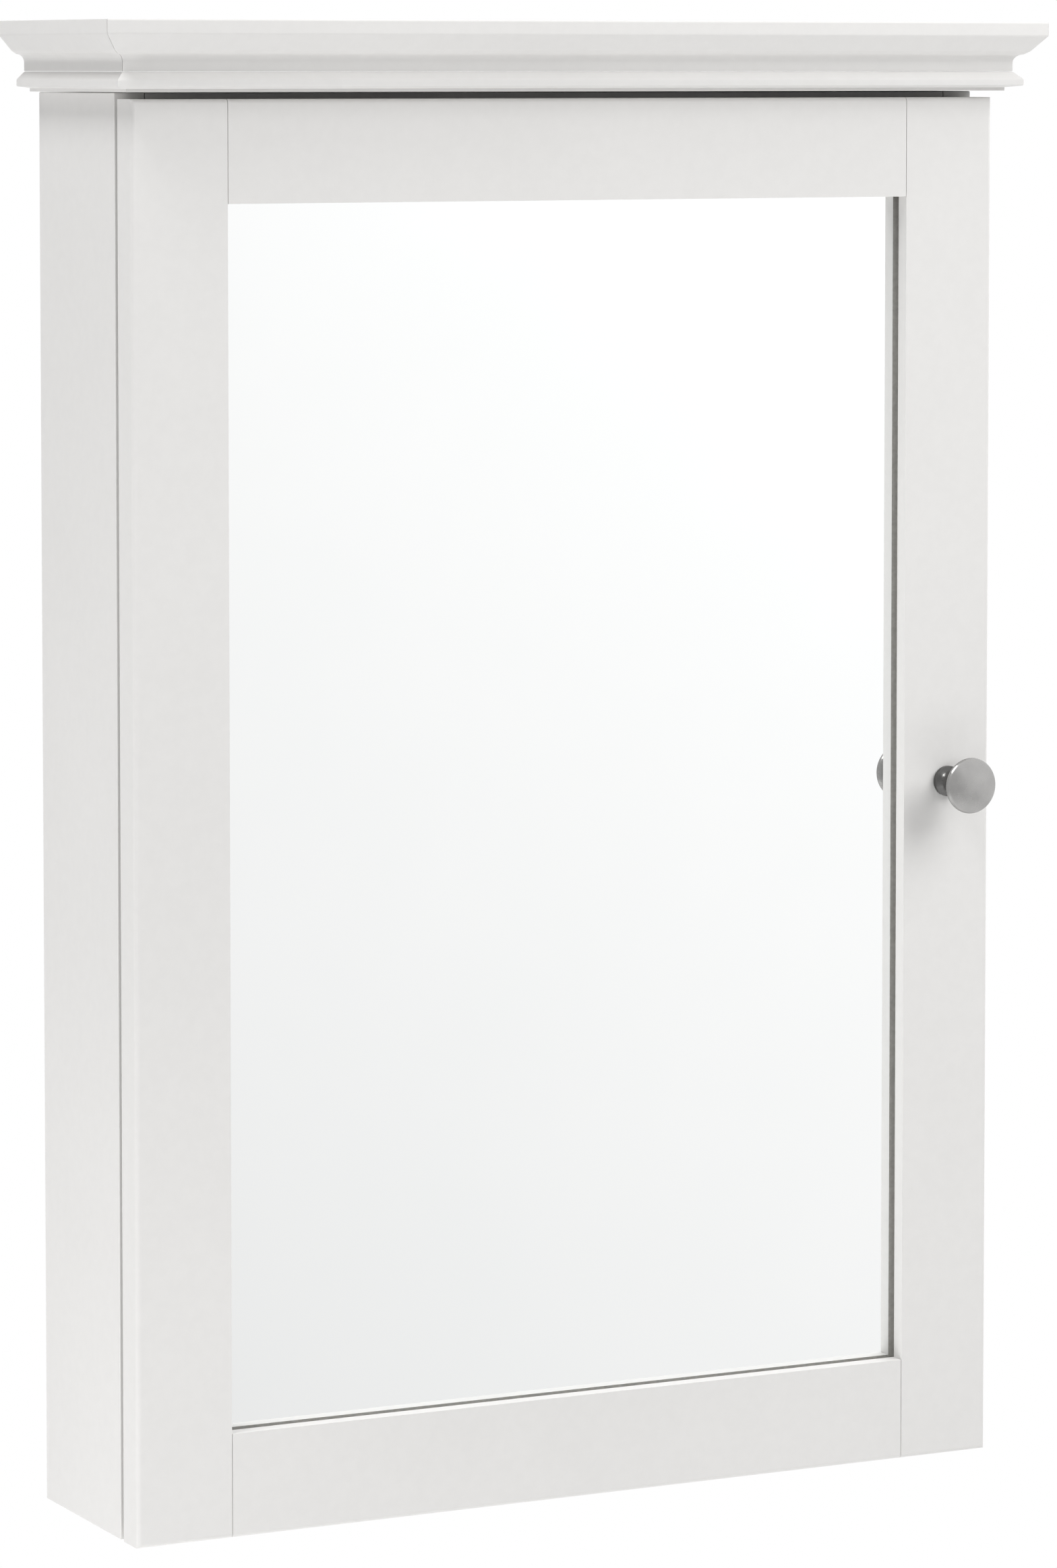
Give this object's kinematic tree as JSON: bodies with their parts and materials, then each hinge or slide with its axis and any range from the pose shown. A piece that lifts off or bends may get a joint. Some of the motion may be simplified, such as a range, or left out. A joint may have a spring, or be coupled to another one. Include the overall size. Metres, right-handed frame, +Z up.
{
  "type": "hanging wall cabinet",
  "caption": "White painted wall cabinet with crown moulding, loose shelves and a framed mirror door with a round knob, hung on concealed cup hinges.",
  "frame": {"origin": "on the wall, at the centre of the upper hanging rail, on the rear face of the back panel", "axes": "+Z up, +Y into the wall, so the door faces -Y and its knob is on the +X side"},
  "size_m": [0.5182, 0.1457, 0.738],
  "materials": {
    "white_paint": "satin white paint on fibreboard",
    "mirror": "silvered float glass",
    "hardboard": "raw brown hardboard",
    "satin_nickel": "satin nickel",
    "plated_steel": "bright nickel plate on pressed steel",
    "bare_pine": "sawn, unfinished",
    "soft_plastic": "soft translucent plastic"
  },
  "bodies": {
    "cabinet": {"side_panel_left": "white_paint", "side_panel_right": "white_paint", "top_panel": "white_paint", "bottom_panel": "white_paint", "back_panel": "white_paint", "hanging_rail_upper": "white_paint", "hanging_rail_lower": "white_paint", "shelf_upper": "white_paint", "shelf_lower": "white_paint", "ledge_board": "white_paint", "crown_front": "white_paint", "crown_left": "white_paint", "crown_right": "white_paint", "crown_block_left": "bare_pine", "crown_block_right": "bare_pine", "shelf_pin_upper_left_front": "plated_steel", "shelf_pin_upper_left_back": "plated_steel", "shelf_pin_upper_right_front": "plated_steel", "shelf_pin_upper_right_back": "plated_steel", "shelf_pin_lower_left_front": "plated_steel", "shelf_pin_lower_left_back": "plated_steel", "shelf_pin_lower_right_front": "plated_steel", "shelf_pin_lower_right_back": "plated_steel", "hinge_arm_upper": "plated_steel", "hinge_arm_lower": "plated_steel", "hinge_plate_upper": "plated_steel", "hinge_plate_lower": "plated_steel", "arm_screw_upper": "plated_steel", "arm_screw_lower": "plated_steel", "plate_screw_upper_upper": "plated_steel", "plate_screw_upper_lower": "plated_steel", "plate_screw_lower_upper": "plated_steel", "plate_screw_lower_lower": "plated_steel", "door_bumper_upper": "soft_plastic", "door_bumper_lower": "soft_plastic"},
    "outer_links": {"outer_link_upper": "plated_steel", "outer_link_lower": "plated_steel"},
    "inner_links": {"inner_link_upper": "plated_steel", "inner_link_lower": "plated_steel"},
    "door": {"door_stile_left": "white_paint", "door_stile_right": "white_paint", "door_rail_top": "white_paint", "door_rail_bottom": "white_paint", "mirror": "mirror", "mirror_backing": "hardboard", "knob": "satin_nickel", "knob_screw": "plated_steel", "hinge_cup_upper": "plated_steel", "hinge_cup_lower": "plated_steel", "cup_screw_upper_upper": "plated_steel", "cup_screw_upper_lower": "plated_steel", "cup_screw_lower_upper": "plated_steel", "cup_screw_lower_lower": "plated_steel"}
  },
  "joints": [
    {"name": "outer_link_swing", "type": "hinge", "parent": "cabinet", "child": "outer_links", "pos_m": [-0.20015, -0.0743, -0.3067], "axis": [0, 0, 1], "range_deg": [0, 28.6]},
    {"name": "inner_link_swing", "type": "hinge", "parent": "cabinet", "child": "inner_links", "pos_m": [-0.20375, -0.1024, -0.3067], "axis": [0, 0, 1], "range_deg": [0, 39.1]},
    {"name": "door_swing", "type": "hinge", "parent": "outer_links", "child": "door", "pos_m": [-0.22765, -0.0986, -0.3067], "axis": [0, 0, -1], "range_deg": [0, 123.53]}
  ],
  "couplings": [
    {"joint": "outer_link_swing", "follows": "door_swing", "ratio": 0.23093},
    {"joint": "inner_link_swing", "follows": "door_swing", "ratio": 0.31595}
  ]
}
